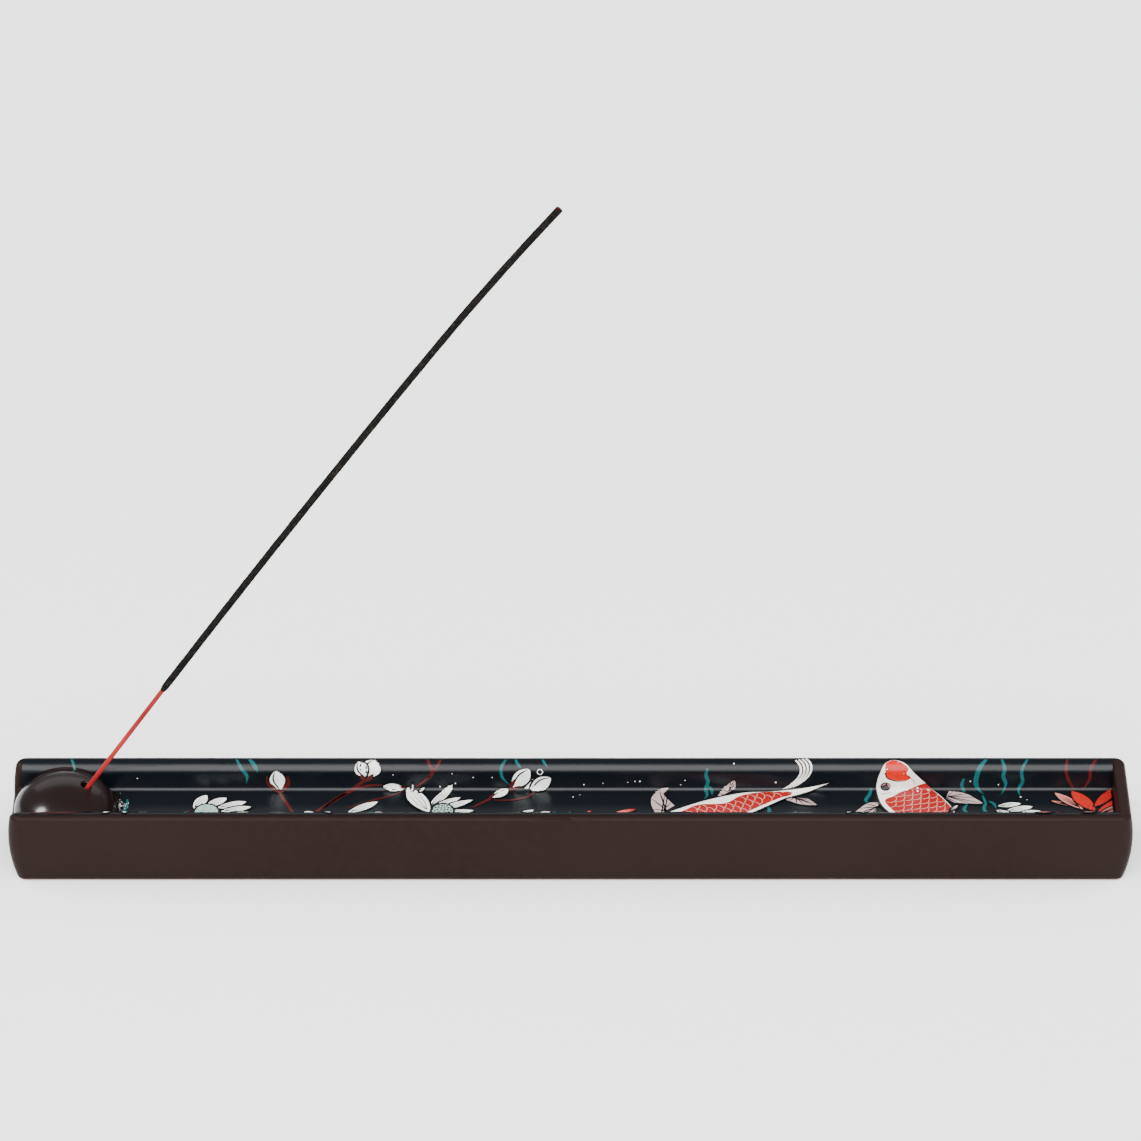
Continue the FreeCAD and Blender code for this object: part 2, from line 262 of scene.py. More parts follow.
def stroke(points, width, tip=0.15, root=1.0, steps=8, closed=False):
    """A brush line: full in the middle, drawn out to shares of its width at both ends."""
    line = smooth_line(points, closed, steps)
    count = len(line)
    spots = []
    for index, point in enumerate(line):
        before = line[index - 1] if index or closed else point
        after = line[(index + 1) % count] if index + 1 < count or closed else point
        heading = (after - before).normalized()
        across = Vector((-heading.y, heading.x))
        share = index / (count - 1)
        half = width / 2
        if not closed:
            half *= min(1.0, root + (1 - root) * share * 4, tip + (1 - tip) * (1 - share) * 3)
        spots += [point + across * half, point - across * half]
    quads = [(2 * i, 2 * i + 1, 2 * i + 3, 2 * i + 2) for i in range(count - 1)]
    if closed:
        quads.append((2 * count - 2, 2 * count - 1, 1, 0))
    return spots, quads


def inside(point, outline):
    """Whether a flat point lies within a closed outline."""
    within = False
    last = outline[-1]
    for corner in outline:
        if (corner.y > point.y) != (last.y > point.y):
            reach = (last.x - corner.x) * (point.y - corner.y) / (last.y - corner.y) + corner.x
            if point.x < reach:
                within = not within
        last = corner
    return within


def field(outline):
    """An outline filled with small faces, so that it follows the curve of wall and lip."""
    spots = list(outline)
    low_x, high_x = min(p.x for p in outline), max(p.x for p in outline)
    low_y, high_y = min(p.y for p in outline), max(p.y for p in outline)
    for row in range(1, int((high_y - low_y) / CELL_WIDE) + 1):
        for column in range(1, int((high_x - low_x) / CELL_LONG) + 1):
            spot = Vector((low_x + (column - 0.5 * (row % 2)) * CELL_LONG, low_y + row * CELL_WIDE))
            if inside(spot, outline) and min((spot - p).length for p in outline) > CELL_CLEARANCE:
                spots.append(spot)
    ring = [list(range(len(outline)))]
    made = geometry.delaunay_2d_cdt(spots, [], ring, 1, 1e-5)
    return made[0], made[2]


def enamel(name, colour, roughness=0.24):
    """Opaque on-glaze enamel: flat colour, slightly uneven where the print is thin."""
    material, tree, shader = node_tree(name, roughness, shine=0.25)
    thin = tuple(channel * 0.8 for channel in colour)
    tree.links.new(
        ramp(tree, cloud(tree, 700.0, 4.0), ((0.25, thin), (0.6, colour))),
        shader.inputs["Base Color"])
    return material


def printed(name, material, shapes):
    """One printed colour of a motif: (flat shape, layer) pairs wrapped on to the trough."""
    places, faces, outs = [], [], []
    for (spots, cells), layer in shapes:
        first = len(places)
        for spot in spots:
            place, out = on_trough(spot[0], spot[1], ENAMEL_LIFT + layer * LAYER)
            places.append(place)
            outs.append(out)
        for cell in cells:
            corners = [spots[i] for i in cell]
            turned = sum(
                a[0] * b[1] - b[0] * a[1] for a, b in zip(corners, corners[1:] + corners[:1]))
            order = cell if turned > 0 else tuple(reversed(cell))
            faces.append(tuple(first + i for i in order))
    mesh = bpy.data.meshes.new(name)
    mesh.from_pydata(places, [], faces)
    mesh.validate()
    mesh.shade_smooth()
    mesh.normals_split_custom_set_from_vertices(outs)
    mesh.materials.append(material)
    piece = bpy.data.objects.new(name, mesh)
    bpy.context.scene.collection.objects.link(piece)
    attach(piece, "burner")
    return piece


teal = enamel("teal_enamel", (0.0035, 0.072, 0.076))
WEED_BLADES = (
    (0.7, ((-130.8, 17.8), (-130.2, 16.3), (-129.6, 14.2))),
    (0.8, ((-116.0, 5.0), (-115.9, 2.6), (-116.6, -0.2), (-118.5, -2.6), (-121.5, -6))),
    (0.9, ((-87.6, 17.8), (-86.2, 15.2), (-84.8, 13.2), (-85, 10.8))),
    (1.1, ((-84.2, 17.8), (-82.8, 16), (-81.9, 14.2))),
    (0.8, ((-16.8, 17.8), (-18.1, 15.5), (-17.9, 12.8), (-16, 10.4))),
    (0.8, ((-14.4, 17.8), (-13.9, 16.5), (-12.7, 15))),
    (0.7, ((-7.3, 17.8), (-6.9, 16.8), (-6, 15.4))),
    (1.0, ((35.9, 15.3), (35.5, 13.5), (36.0, 11.4), (35.5, 9.2), (35.8, 6.8), (34.9, 5))),
    (1.0, ((51.6, 2), (51.9, -0.6), (51.1, -3), (52.5, -6), (51, -9))),
    (1.0, ((78.9, 9.4), (78.3, 7), (77.3, 4.6), (77.9, 2.6))),
    (0.9, ((103.1, 12.4), (102.6, 10.4), (103.1, 8.5), (102.4, 6.2))),
    (1.3, ((109, 17.8), (107, 15), (106.3, 12), (106.6, 9.8), (108.4, 7.2))),
    (1.0, ((113, 17.8), (113.7, 15.2), (113.4, 13), (114.1, 10.4), (112.8, 7))),
    (0.9, ((119.8, 17.8), (118.2, 14.6), (118.5, 11.4), (117.5, 9), (117.8, 6.4))),
    (0.9, ((108.0, 6.6), (108.5, 3.4), (108.0, 0.6), (108.6, -2), (107.6, -6), (109.4, -11))),
    (0.9, ((103.7, 2.6), (102.8, 0.4), (103.6, -2), (102.6, -5.5))),
    (1.2, ((-100, -17.6), (-98.5, -14.5), (-99.6, -11), (-97.8, -7.5))),
    (0.9, ((-96.2, -17.6), (-95, -14), (-96, -11))),
    (1.1, ((-52, -17.6), (-50.6, -14), (-52, -10.5), (-50.4, -7))),
    (1.0, ((-4, -17.6), (-5.4, -14), (-4, -10.8), (-5.2, -8))),
    (0.9, ((-0.4, -17.6), (0.8, -14.6), (-0.6, -12))),
    (1.2, ((58, -17.6), (59.4, -13.8), (57.8, -10.4), (59, -7))),
    (1.0, ((88, -17.6), (86.8, -14.4), (88.2, -11))),
)
printed("pond_weed", teal, [
    (stroke(points, width, tip=0.1, root=0.55), 2) for width, points in WEED_BLADES])
printed("weed_leaves", teal, [
    (stroke(points, 0.8, tip=0.05, root=0.05), 3) for points in (
        ((-97, -13), (-94.6, -11.4), (-93.4, -9.4)),
        ((35.9, 10.4), (37.0, 8.8), (37.1, 6.8)), ((109.3, 4.2), (110.7, 2.9), (111.2, 0.8)))])

# ------------------------------------------------------------------ lotus
# White lotus in opaque enamel: overlapping petals, each with a dark ink outline and fine
# veins, round a stippled heart.  Petals printed later lie over the earlier ones.
white = enamel("lotus_white", (0.80, 0.83, 0.78))
ink = enamel("print_ink", (0.002, 0.0024, 0.003), 0.3)
celadon = enamel("heart_green", (0.27, 0.38, 0.33))
vein_grey = enamel("vein_grey", (0.085, 0.105, 0.10))
INK_LINE = 0.54
VEIN_LINE = 0.24
GOLDEN_TURN = 2.4
HEART_HEIGHT = 1.15


def petal(base, tip, width, blunt=0.35):
    """Closed outline of a petal from its base to its tip, widest at the middle or nearer the tip."""
    base, tip = Vector(base), Vector(tip)
    run = tip - base
    across = Vector((-run.y, run.x)).normalized() * width / 2
    near, far, full = 0.3, 0.62 + 0.2 * blunt, 0.75 + 0.4 * blunt
    return smooth_line((
        base, base + run * near + across * 0.8, base + run * far + across * full,
        tip, base + run * far - across * full, base + run * near - across * 0.8), closed=True, steps=5)


def veins(base, tip, width, count=3):
    """Fine lines that fan from the base of a petal towards its tip."""
    base, tip = Vector(base), Vector(tip)
    run = tip - base
    across = Vector((-run.y, run.x)).normalized() * width / 2
    lines = []
    for index in range(count):
        spread = (index - (count - 1) / 2) / max(count - 1, 1)
        lines.append(stroke((
            base + run * 0.12, base + run * 0.4 + across * spread * 0.8,
            base + run * 0.78 + across * spread * 0.7), VEIN_LINE, steps=4))
    return lines


def flower(name, petals, heart=None, fill=white, vein=None, first_layer=4):
    """A lotus: petals as (base, tip, width), with outlines and veins, and a heart if it shows."""
    fills, lines, fans = [], [], []
    layer = first_layer
    for base, tip, width in petals:
        outline = petal(base, tip, width)
        fills.append((field(outline), layer))
        lines.append((stroke(outline, INK_LINE, closed=True, steps=1), layer + 1.4))
        fans += [(line, layer + 0.7) for line in veins(base, tip, width)]
        layer += 2
    printed(f"{name}_petals", fill, fills)
    printed(f"{name}_veins", vein or vein_grey, fans)
    if heart:
        centre, radius, dark = heart
        ring = [Vector((centre[0] + radius * math.cos(a * math.pi / 10),
                        centre[1] + radius * HEART_HEIGHT * math.sin(a * math.pi / 10)))
                for a in range(20)]
        printed(f"{name}_heart", celadon, [(field(ring), layer)])
        lines.append((stroke(ring, INK_LINE, closed=True, steps=1), layer + 1))
        seeds, seed_radius = (34, 0.3) if dark else (12, 0.14)
        for index in range(seeds):
            turn = index * GOLDEN_TURN
            reach = radius * 0.92 * math.sqrt((index + 0.5) / seeds)
            spot = (centre[0] + reach * math.cos(turn),
                    centre[1] + reach * HEART_HEIGHT * math.sin(turn))
            lines.append((dot(spot, seed_radius), layer + 1))
    printed(f"{name}_ink", ink, lines)


def dot(centre, radius, sides=8):
    """A small round spot of colour."""
    rim = [Vector((centre[0] + radius * math.cos(2 * math.pi * side / sides),
                   centre[1] + radius * math.sin(2 * math.pi * side / sides))) for side in range(sides)]
    return rim, [tuple(range(sides))]


flower("lotus_left", (
    ((-99, -2.8), (-107, -2.1), 1.7), ((-98.5, 0.5), (-95.2, 7), 3.6),
    ((-95.5, 1.5), (-89.8, 5.6), 3.4), ((-92.5, 0.8), (-84.6, 3.8), 3.2),
    ((-91.5, -0.8), (-83.2, 1.4), 2.8), ((-91.5, -2.4), (-82, -1.6), 2.6),
    ((-92.5, -4.2), (-83.5, -5.4), 3.0), ((-96, -5.2), (-92, -10.2), 3.6),
    ((-99, -4.2), (-103, -8.4), 3.2)), ((-95, -1.2), 3.3, False))
flower("lotus_middle", (
    ((-57.6, -2.4), (-46.5, -1.4), 2.6), ((-58.4, -1.4), (-50.2, 3.9), 3.1),
    ((-37.4, 0.5), (-30.8, 10.8), 3.0), ((-36.4, 0.8), (-28.6, 5.8), 2.8),
    ((-35, -0.2), (-25.4, 4.6), 2.8), ((-34.5, -1.8), (-25, -0.3), 2.6),
    ((-36.8, -1.2), (-42.8, 9.8), 5.4), ((-41.5, 8.2), (-41.3, 11), 1.2),
    ((-39.8, 7.6), (-38.2, 10), 1.1), ((-36, -4), (-28, -7.4), 3.2),
    ((-38.5, -4.6), (-36.5, -10.5), 3.4), ((-41, -3.6), (-48, -7), 3.2)),
    ((-33.4, -0.8), 3.0, True))
flower("lotus_front_left", (
    ((-118, -12), (-125.5, -16.8), 2.6), ((-117.5, -13), (-121, -17.8), 2.6),
    ((-116, -13), (-115.4, -17.8), 2.8), ((-115, -12), (-109.6, -16), 2.6),
    ((-117, -10.5), (-124, -10), 2.4), ((-115, -10.5), (-109, -9.4), 2.4)),
    ((-116.4, -11.4), 1.7, False))
flower("lotus_front_right", (
    ((74, -12.6), (71.6, -17.7), 2.4), ((74.6, -12.6), (76, -17.6), 2.4),
    ((74, -11.6), (67.6, -13), 2.4), ((75, -11.4), (81, -12.6), 2.4),
    ((74, -11), (70, -7), 2.4), ((75, -11), (78.5, -7), 2.4)), ((74.5, -11.6), 1.5, True))
flower("fallen_petals", (
    ((-69.4, -3.8), (-66.6, -0.9), 5.0), ((-75.4, -3), (-70.6, -2.5), 1.5),
    ((-21, -3.2), (-17.4, -2.4), 1.6), ((-14.4, -2.8), (-9.4, 0.1), 2.2),
    ((-10, -2.6), (-5, -0.9), 2.2), ((1, -2.8), (5, -1.3), 1.3),
    ((103.6, -3.4), (108.8, -1.4), 1.9), ((98.8, -1), (101.4, 2.2), 1.4)))

# ------------------------------------------------------------------ red lotus and red petals
# The same flower in iron-red enamel, one petal fading to pink with dark stripes.
# Its right-hand petals are cut off by the straight end of the printed sheet.
PRINT_END = transfer_high.x / MM - 0.15
red = enamel("iron_red", (0.40, 0.012, 0.008))
pink = enamel("faded_pink", (0.50, 0.17, 0.14))


def cut_at_end(outline):
    """An outline kept short of the sheet's straight end."""
    return [Vector((min(point.x, PRINT_END), point.y)) for point in outline]


flower("red_petals", (
    ((3, -2.6), (5.6, 0), 1.5), ((10.4, -1.9), (17.3, 0.5), 2.0), ((10.6, -2.9), (16.4, -2.2), 1.4),
    ((120.4, -17.3), (125.2, -17.1), 1.1), ((132.2, -17.2), (136.4, -17), 1.1)),
    None, red, pink)
RED_PETALS = (
    (pink, (132.4, 1.6), (125.4, 4.4), 1.6), (pink, (134, 0.2), (126.8, 8), 3.1),
    (red, (137, -0.4), (131.4, 8.6), 4.4), (red, (136.8, 1.4), (143.4, 10), 3.4),
    (red, (137.6, -1), (146, 6), 3.4), (pink, (138, -1.8), (145, 2.4), 2.6),
    (pink, (134.6, -2), (127.4, -3), 2.6), (red, (135.6, -3), (130, -9.4), 3.6),
    (red, (137.4, -3), (141, -9.6), 3.4))
red_fill, pink_fill, red_lines = [], [], []
for index, (colour, base, tip, width) in enumerate(RED_PETALS):
    outline = cut_at_end(petal(base, tip, width))
    layer = 4 + 2 * index
    (red_fill if colour is red else pink_fill).append((field(outline), layer))
    red_lines.append((stroke(outline, INK_LINE * 0.8, closed=True, steps=1), layer + 1.4))
    if colour is pink:
        red_lines += [(line, layer + 1) for line in veins(base, tip, width, 4)]
RED_SEEDS = 26
for index in range(RED_SEEDS):
    turn, reach = index * GOLDEN_TURN, 2.3 * math.sqrt((index + 0.5) / RED_SEEDS)
    seed = (135.6 + 1.5 * reach * math.cos(turn), -0.6 + reach * math.sin(turn))
    red_lines.append((dot(seed, 0.17), 24))
printed("red_lotus_red", red, red_fill)
printed("red_lotus_pink", pink, pink_fill)
printed("red_lotus_ink", ink, red_lines)
flower("rope_petals", (
    ((111.5, 1.8), (118, 3), 2.6), ((113.6, -0.4), (121, 1.6), 2.8), ((111, 0), (115.5, -2.6), 2.6),
    ((116.4, -2), (123, -0.6), 2.8), ((118.4, -3.6), (124, -3), 2.2), ((112, -3.4), (118, -4.4), 2.4)))

# ------------------------------------------------------------------ buds
# Closed white buds on thin branching stems, each held in a red calyx.
stem_red = enamel("stem_red", (0.055, 0.006, 0.006))
STEMS = (
    (0.9, ((-76.6, 9.2), (-75.6, 6), (-74, 2.4), (-72.6, -1.4), (-73.5, -4))),
    (0.8, ((-79.6, 13), (-78.9, 10.2), (-76.4, 8.6))),
    (0.8, ((-74.2, 13), (-73.9, 10.6), (-75.9, 8.6))),
    (1.2, ((-53.2, 12.6), (-56, 10), (-59.4, 7), (-62.6, 3.6), (-66.6, -0.6))),
    (0.7, ((-49, 10.3), (-53, 10.2), (-57.4, 8.6), (-61.4, 5), (-66, -0.8))),
    (0.6, ((-43.2, 9.2), (-47, 6.6), (-52, 4.4), (-58.4, 1))),
    (0.9, ((-37.5, 17.8), (-36.9, 16), (-36.2, 14), (-38.6, 11.4), (-41.6, 9))),
    (0.8, ((-33.9, 17.8), (-35, 15.6), (-36.4, 13.8), (-37.6, 12.4))),
    (0.8, ((-19.6, 6.2), (-22.4, 4), (-25.6, 1.2))),
    (0.7, ((-9.2, 8.4), (-11.4, 6), (-15.6, 4.6), (-20, 4.6))),
    (0.8, ((-15.6, 10.2), (-16, 8.6), (-17.6, 7.4))),
    (0.9, ((130.2, 17.8), (129.8, 14.8), (130.6, 11.8), (132.2, 8.8))),
    (0.9, ((137.8, 17.8), (136.2, 15), (136, 12), (134.2, 8.8))),
    (0.8, ((-140, -17.7), (-136, -17.3), (-131, -17.5), (-127, -16.6), (-122, -13))),
    (0.7, ((-101.6, -1.8), (-100.4, -1), (-99.4, -0.4))),
    (0.8, ((-72.6, -4), (-70, -8), (-66, -11.5), (-64, -15))),
    (0.8, ((-20, -8), (-16, -10.6), (-13, -14))), (0.7, ((-16, -10.6), (-11, -11), (-8, -12.6))),
    (0.8, ((126, -17.6), (129, -14), (131, -9))),
)
printed("bud_stems", stem_red, [
    (stroke(points, width, tip=0.45, root=0.6), 3) for width, points in STEMS])
BUDS = (
    ((-76.2, 8.8), (-77.4, 14.8), 4.8), ((-53.2, 12.6), (-51.4, 17.8), 6.0),
    ((-53.8, 12.7), (-55.8, 17.2), 4.2), ((-43.4, 9.4), (-49.4, 10), 2.9),
    ((-15.4, 9.6), (-10.6, 15.2), 5.0), ((-10.6, 8.8), (-5, 12.8), 4.6),
    ((-12.4, 9.2), (-8.8, 12.4), 2.6), ((-20.8, 5.6), (-16.2, 9.2), 3.4),
    ((-64, -14.6), (-62, -17.6), 2.6), ((-12.8, -13.6), (-10.6, -17.4), 2.8),
    ((-8.2, -12.4), (-4.6, -14.4), 2.2))
CALYXES = (
    ((-76.2, 7.6), (-79.6, 11.6), 1.3), ((-76, 7.6), (-73.8, 11.8), 1.3),
    ((-53.6, 11.4), (-51.6, 13.8), 1.5), ((-54, 11.4), (-55, 14), 1.3),
    ((-42.4, 9.2), (-45, 10), 0.8), ((-15.9, 9.2), (-14.6, 12.2), 1.3),
    ((-15.6, 8.8), (-13, 10.2), 1.1), ((-21.4, 5.2), (-19.8, 7.6), 0.8))
bud_fill, bud_lines = [], []
for index, (base, tip, width) in enumerate(BUDS):
    outline = petal(base, tip, width, blunt=0.3)
    bud_fill.append((field(outline), 4 + 2 * (index % 3)))
    bud_lines.append((stroke(outline, INK_LINE, closed=True, steps=1), 5.4 + 2 * (index % 3)))
    middle = Vector(base).lerp(Vector(tip), 0.55)
    side = (Vector(tip) - Vector(base)).orthogonal().normalized() * width * 0.22
    bud_lines.append((stroke((base, middle + side, tip), INK_LINE * 0.8, steps=5), 5.4 + 2 * (index % 3)))
printed("buds_white", white, bud_fill)
printed("buds_ink", ink, bud_lines)
printed("bud_calyxes", stem_red, [
    (field(petal(base, tip, width, blunt=0.0)), 10) for base, tip, width in CALYXES])

# ------------------------------------------------------------------ koi
# Two koi in white and iron-red enamel.  Pale arcs laid in rows make the scales, and dark
# lines that fan from the root make the fins.  One swims forward, the other down the wall.
koi_white = enamel("koi_white", (0.80, 0.78, 0.73))
koi_red = enamel("koi_red", (0.27, 0.0095, 0.0085))
crown_red = enamel("crown_red", (0.46, 0.010, 0.004))
scale_pale = enamel("scale_line", (0.62, 0.30, 0.26))
faded_rose = enamel("faded_rose", (0.42, 0.16, 0.15))
fin_grey = enamel("fin_grey", (0.38, 0.28, 0.275))
SCALE_LONG = 2.7
SCALE_WIDE = 1.75
SCALE_LINE = 0.17
SCALE_BULGE = 0.62
SCALE_ROWS = 16
SCALE_COLUMNS = 14


def scales(outline, heading, origin):
    """Rows of open arcs that face the tail, kept where they lie within the coloured skin."""
    forward = Vector((math.cos(heading), math.sin(heading)))
    sideways = Vector((-forward.y, forward.x))
    found = []
    for row in range(-SCALE_ROWS, SCALE_ROWS + 1):
        for column in range(-SCALE_COLUMNS, SCALE_COLUMNS + 1):
            centre = Vector(origin) + sideways * row * SCALE_WIDE
            centre += forward * (column + 0.5 * (row % 2)) * SCALE_LONG
            arc = []
            for step in range(-4, 5):
                turn = step * math.pi / 8.6
                arc.append(centre + forward * math.cos(turn) * SCALE_LONG * SCALE_BULGE
                           + sideways * math.sin(turn) * SCALE_WIDE)
            if inside(arc[4], outline) and inside(centre, outline):
                kept = [point for point in arc if inside(point, outline)]
                if len(kept) > 3:
                    found.append(stroke(kept, SCALE_LINE, tip=0.5, root=0.5, steps=2))
    return found


def fin(root, edge, rays=6):
    """A fin from its root (two points) to its free edge (a few points): skin, rays and rim."""
    edge = smooth_line(edge, steps=4)
    roots = [Vector(root[0]).lerp(Vector(root[1]), share / 4) for share in range(5)]
    skin = field(edge + list(reversed(roots)))
    lines = []
    for ray in range(rays):
        share = (ray + 0.5) / rays
        start = Vector(root[0]).lerp(Vector(root[1]), share)
        end = edge[min(int(share * len(edge)), len(edge) - 1)]
        lines.append(stroke((start, start.lerp(end, 0.5), end), 0.36, steps=3))
    lines.append(stroke(edge, INK_LINE, tip=0.6, root=0.6, steps=1))
    return skin, lines


def koi(name, body, skin_red, heading, origin, fins, bands, marks):
    """One fish: body outline, red patches, scales, fins, striped bands and ink lines."""
    body = smooth_line(body, closed=True, steps=5)
    patches = [smooth_line(patch, closed=True, steps=4) for patch in skin_red]
    grey, dark, pale = [], [], []
    for layer, (root, edge) in enumerate(fins):
        skin, lines = fin(root, edge)
        grey.append((skin, 3 + layer * 1.5))
        dark += [(line, 4 + layer * 1.5) for line in lines]
    for line, width in bands:
        middle = smooth_line(line, steps=5)
        for stripe in range(4):
            shift = (stripe - 1.5) * width / 4
            pale.append((stroke([point + Vector((shift, 0.25 * shift)) for point in middle], width / 7,
                                tip=0.3, root=0.8, steps=1), 5))
    printed(f"{name}_fins", fin_grey, grey)
    if pale:
        printed(f"{name}_band", koi_white, pale)
    printed(f"{name}_body", koi_white, [(field(body), 12)])
    printed(f"{name}_red", koi_red, [(field(patch), 14) for patch in patches])
    net = []
    for patch in patches:
        net += [(line, 16) for line in scales(patch, heading, origin)]
    printed(f"{name}_scales", scale_pale, net)
    dark.append((stroke(body, INK_LINE, closed=True, steps=1), 17))
    dark += [(stroke(points, width, steps=5), 18) for width, points in marks]
    printed(f"{name}_ink", ink, dark)


koi("koi_forward", (
    (68.8, 11.5), (60.5, 9.6), (52.2, 8.5), (45.7, 8), (39.1, 6), (33.9, 3.8), (28.7, 1),
    (22.4, -2.6),
    (16.4, -5.6), (11.6, -8.6), (9.6, -11), (12.4, -13.2), (19, -13.2), (28, -10.6), (36, -7.4),
    (42, -4.4), (46.4, -2.2), (51.4, 1.4), (56.3, 5), (60.4, 6.9), (64.2, 9)), (
    ((57.4, 8.2), (50, 8), (44.6, 6.4), (40.4, 3), (33.6, 2.4), (29.4, -0.4), (26.2, -2.4),
     (20, -5), (17.6, -8), (21, -10.4), (28, -9.2), (36, -6), (42, -3), (46, -1), (50.6, 2.4),
     (55, 5.4), (57.6, 6.6)),),
    math.radians(20), (46, 3), (
    (((22.6, -2.4), (27, -0.6)), (
        (27.3, 2.2), (25.6, 5.2), (24.6, 7.6), (25.8, 9.6), (23.2, 9.2), (21.2, 6.4),
        (20.9, 2.6), (22, -1.4))),
    (((38.2, 5.6), (43.8, 7.4)), ((43.4, 9.4), (43.5, 11.2), (42.6, 12), (39.9, 9.4), (38.3, 6.4))),
    (((54.6, 6.4), (60.4, 7.4)), ((62.6, 4.9), (64.6, 2.2), (60.2, 2.4), (56.2, 4.6))),
    (((20, -11.6), (26, -10)), ((30, -12.6), (31, -15.4), (26, -15.6), (21, -13.4)))), (
    (((60.3, 17.8), (61.4, 16.4), (61.7, 14.7), (60.8, 12.6), (58.8, 10.6), (57, 9.4)), 3.6),), (
    (0.2, ((16.4, -5.8), (17.6, -8.6), (16.2, -12.6))), (0.3, ((13, -9.6), (13.8, -9.9), (14.4, -9.5)))))
koi("koi_diving", (
    (80, 9.4), (80.1, 11.4), (80.6, 13.6), (82, 16.4), (84.4, 17.7), (87.6, 16.8), (90.3, 14.2),
    (94.2, 10.2), (96.8, 7), (99.4, 2.2), (101.4, -3), (104.6, -6.6), (109.6, -9.4), (115, -11.6),
    (112, -13), (105, -12),
    (97.4, -9), (90.4, -6), (85.4, -3), (82.7, -0.8), (80.8, 3.3)), (
    ((82.3, 3.6), (82.7, 5), (84.6, 6.2), (86.4, 8), (89.5, 9.5), (92.9, 11), (94.4, 9.6), (96.6, 6.5),
     (99.1, 1.8), (101, -3.2), (104.4, -7.4), (99, -8), (91, -5.2), (86, -2.4), (83.8, 0.4)),),
    math.radians(-42), (90, 4), (
    (((81, 3.2), (81.6, 0.4)), (
        (78.9, -2.4), (76.2, -2.9), (73.2, -2.5), (75.2, 0.8), (77.8, 3.4), (80.8, 3.7))),
    (((98.3, 5.4), (95.8, 8)), (
        (99.3, 8.7), (103.4, 7.9), (106, 5.6), (108, 2.9), (104, 2.8), (100.6, 3.2))),
    (((108, -8.4), (110, -11.8)), (
        (114, -15.2), (118, -14.4), (116.6, -11.6), (119.4, -8.6), (113.6, -7.2)))),
    (), (
    (0.35, ((82.4, 14.2), (83, 12.6), (84.9, 11.8), (87.6, 11.4))),
    (0.16, ((88.4, 13.4), (89.8, 11.8), (90.6, 10.4))), (0.16, ((81.2, 7.6), (82.4, 7.2), (83.6, 7.8)))))
printed("koi_crown", crown_red, [(field(smooth_line((
    (82.5, 16.2), (84.5, 17.4), (87, 16.5), (88.5, 15.2), (88, 13.9), (89.2, 12.7), (87.6, 11.7),
    (84.9, 12), (82.9, 13)), closed=True, steps=4)), 15)])
printed("koi_eye_rim", ink, [(dot((82.6, 9.9), 1.4, 14), 14), (dot((12.4, -10.6), 1.1, 14), 14)])
printed("koi_eye_ring", faded_rose, [(dot((82.75, 9.85), 1.1, 14), 19), (dot((12.4, -10.6), 0.9, 14), 19)])
printed("koi_eye", ink, [(dot((82.7, 9.9), 0.75, 12), 21), (dot((12.4, -10.6), 0.55, 12), 21)])
printed("koi_eye_light", koi_white, [(dot((82.5, 10.15), 0.2), 23), (dot((12.2, -10.3), 0.2), 23)])

# ------------------------------------------------------------------ bubbles and spray
# Small white dots and one ring, scattered in the dark water, and a little splash of fine
# specks beside the dome.
BUBBLES = (
    (-113.5, 12.4), (-46.5, 13.5), (-34.2, 9.9), (-31, 13.8), (-30.2, 10.9), (-25.5, 12.7),
    (-20.5, 12.7), (0.7, 6), (2.5, 7), (3.5, 10.5), (8.5, 10.9), (15, 11.2), (16.9, 11.5),
    (18.2, 11.5), (28.9, 10.5), (30, 11.8), (42.8, 16.5), (53.8, 11.2), (104.8, 11.5),
    (112.2, 10.5), (117.9, 6), (119.5, 4.7), (-108, -12), (-84, -13.6), (-80, -11),
    (-42, -14.4), (-26, -12), (4, -11), (43, -13), (63, -6), (95, -14))
spray = random.Random(7)
bubble_shapes = [(dot(place, spray.uniform(0.12, 0.24)), 3) for place in BUBBLES]
for count in range(46):
    place = (-117.4 + spray.gauss(0, 0.9), 1.6 + spray.gauss(0, 2.2))
    bubble_shapes.append((dot(place, spray.uniform(0.06, 0.17), 6), 3))
ring_line = [Vector((-8 + 0.7 * math.cos(a * math.pi / 6), 14.3 + 0.7 * math.sin(a * math.pi / 6)))
             for a in range(12)]
bubble_shapes.append((stroke(ring_line, 0.2, closed=True, steps=1), 3))
printed("bubbles", white, bubble_shapes)

# ------------------------------------------------------------------ incense stick
# Split bamboo dyed red, thin and not quite round, with the grain showing along it.  The
# upper part is rolled in dark incense paste, which dries rough with pale specks of wood.
CORE_RADIUS = 0.65 * MM
PASTE_RADIUS = 1.0 * MM
TILT = math.radians(56)
BARE = 46.0 * MM
TAPER = 1.6 * MM
BENDS = ((120.0 * MM, math.radians(1.7)), (54.0 * MM, math.radians(3.9)))
core_low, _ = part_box("stick_core")
stick_foot = core_low + Vector((math.sin(TILT), 0, math.cos(TILT))) * CORE_RADIUS
stick_foot.y = 0.0
stick_length = BARE + TAPER + sum(length for length, _ in BENDS)


def along_stick(distance):
    """Place on the stick's middle line and its heading, at a distance from the foot."""
    heading = TILT
    straight = min(distance, BARE + TAPER)
    place = stick_foot + Vector((math.cos(heading), 0, math.sin(heading))) * straight
    left = distance - straight
    for length, turn in BENDS:
        part = min(max(left, 0.0), length)
        bent = turn * part / length
        middle = heading - bent / 2
        place = place + Vector((math.cos(middle), 0, math.sin(middle))) * part
        heading -= bent
        left -= length
    return place, heading


